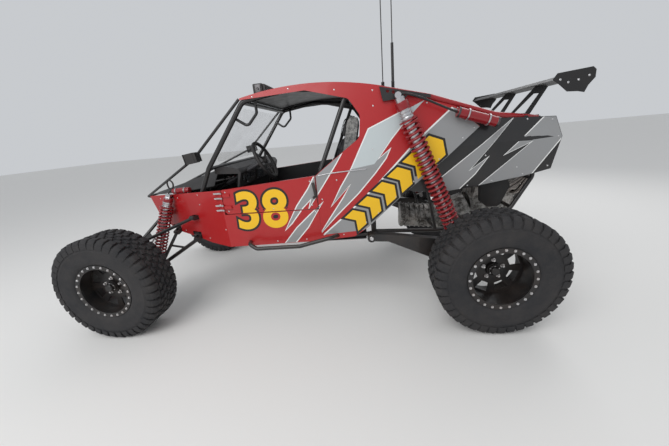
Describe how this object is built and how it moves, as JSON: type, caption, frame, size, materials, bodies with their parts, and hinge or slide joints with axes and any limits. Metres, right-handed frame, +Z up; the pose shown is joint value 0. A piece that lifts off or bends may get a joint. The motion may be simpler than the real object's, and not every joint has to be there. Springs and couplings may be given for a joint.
{
  "type": "two-seat sand buggy",
  "caption": "Two-seat dune buggy with a tube roll cage, sheet side panels, open engine bay, long-travel suspension, knobbly tyres, hinged half doors and a small rear wing.",
  "frame": {"origin": "on the floor below the middle of the overall length, on the mid-plane", "axes": "+X forward, +Y to the left, +Z up"},
  "size_m": [4.055, 2.15, 2.9],
  "materials": {
    "antenna_black": "satin",
    "cast_aluminium": "cast",
    "dark_steel": "satin",
    "dash_black": "textured",
    "frame_black": "satin",
    "grip_black": "matt",
    "lamp_black": "satin",
    "machined_steel": "satin",
    "muffler_steel": "satin",
    "radiator_core": "finned",
    "red_paint": "gloss",
    "satin_black": "satin",
    "screen_glass": "clear",
    "seat_vinyl": "grained",
    "sheet_aluminium": "brushed",
    "spring_red": "gloss",
    "tail_paint": "gloss",
    "tyre_rubber": "matt",
    "wheel_black": "satin"
  },
  "bodies": {
    "chassis": {"antennas": "antenna_black", "belly_pan": "sheet_aluminium", "controls": "dark_steel", "dashboard": "dash_black", "downtubes": "red_paint", "engine": "cast_aluminium", "firewall": "sheet_aluminium", "floor_frame": "frame_black", "front_shocks": "machined_steel", "front_springs": "spring_red", "half_shafts": "dark_steel", "hinges": "machined_steel", "hood": "satin_black", "lower_arms": "frame_black", "muffler": "muffler_steel", "nose_frame": "frame_black", "pillar_lamps": "lamp_black", "quarter_panel_left": "tail_paint", "quarter_panel_right": "tail_paint", "rack_housing": "machined_steel", "radiator": "radiator_core", "rear_frame": "frame_black", "rear_shocks": "machined_steel", "rear_springs": "spring_red", "rear_wing": "satin_black", "reservoirs": "spring_red", "roll_cage": "frame_black", "roof_lamp": "lamp_black", "roof_panel": "red_paint", "sail_panel_left": "red_paint", "sail_panel_right": "red_paint", "seat_left": "seat_vinyl", "seat_right": "seat_vinyl", "shock_gussets": "frame_black", "side_bars": "frame_black", "side_panel_left": "red_paint", "side_panel_right": "red_paint", "steering_column": "dark_steel", "tow_eyes": "frame_black", "trailing_arms": "frame_black", "transaxle": "cast_aluminium", "upper_arms": "frame_black", "windscreen": "screen_glass", "wing_supports": "satin_black"},
    "wheel_fl": {"tyre_front_left": "tyre_rubber", "rim_front_left": "wheel_black"},
    "wheel_fr": {"tyre_front_right": "tyre_rubber", "rim_front_right": "wheel_black"},
    "wheel_rl": {"tyre_rear_left": "tyre_rubber", "rim_rear_left": "wheel_black"},
    "wheel_rr": {"tyre_rear_right": "tyre_rubber", "rim_rear_right": "wheel_black"},
    "upright_left": {"knuckle_left": "machined_steel"},
    "upright_right": {"knuckle_right": "machined_steel"},
    "rack": {"tie_rods": "machined_steel"},
    "steering_wheel": {"steering_wheel": "grip_black"},
    "door_left": {"door_left": "red_paint"},
    "door_right": {"door_right": "red_paint"}
  },
  "joints": [
    {"name": "steer_left", "type": "hinge", "parent": "chassis", "child": "upright_left", "pos_m": [1.58, 0.845, 0.44], "axis": [-0.0712, -0.0356, 0.9968], "range_deg": [-25, 25]},
    {"name": "steer_right", "type": "hinge", "parent": "chassis", "child": "upright_right", "pos_m": [1.58, -0.845, 0.44], "axis": [-0.0712, 0.0356, 0.9968], "range_deg": [-26, 26]},
    {"name": "rack_slide", "type": "slide", "parent": "chassis", "child": "rack", "axis": [0, 1, 0], "range_m": [-0.04, 0.04]},
    {"name": "steering_wheel_turn", "type": "hinge", "parent": "chassis", "child": "steering_wheel", "pos_m": [0.324, 0.38, 1.319], "axis": [-0.9048, 0, 0.4259], "range_deg": [-276, 276]},
    {"name": "wheel_fl_spin", "type": "hinge", "parent": "upright_left", "child": "wheel_fl", "pos_m": [1.583, 0.916, 0.4445], "axis": [0, 1, 0], "continuous": true},
    {"name": "wheel_fr_spin", "type": "hinge", "parent": "upright_right", "child": "wheel_fr", "pos_m": [1.583, -0.916, 0.4445], "axis": [0, 1, 0], "continuous": true},
    {"name": "wheel_rl_spin", "type": "hinge", "parent": "chassis", "child": "wheel_rl", "pos_m": [-1.43, 0.916, 0.4445], "axis": [0, 1, 0], "continuous": true},
    {"name": "wheel_rr_spin", "type": "hinge", "parent": "chassis", "child": "wheel_rr", "pos_m": [-1.43, -0.916, 0.4445], "axis": [0, 1, 0], "continuous": true},
    {"name": "door_left_hinge", "type": "hinge", "parent": "chassis", "child": "door_left", "pos_m": [0.625, 0.708, 1.035], "axis": [0, 0, -1], "range_deg": [0, 75]},
    {"name": "door_right_hinge", "type": "hinge", "parent": "chassis", "child": "door_right", "pos_m": [0.625, -0.708, 1.035], "axis": [0, 0, 1], "range_deg": [0, 75]}
  ],
  "couplings": [
    {"joint": "steer_right", "follows": "steer_left", "ratio": 1},
    {"joint": "rack_slide", "follows": "steer_left", "m_per_rad": -0.083},
    {"joint": "steering_wheel_turn", "follows": "steer_left", "ratio": 11}
  ]
}
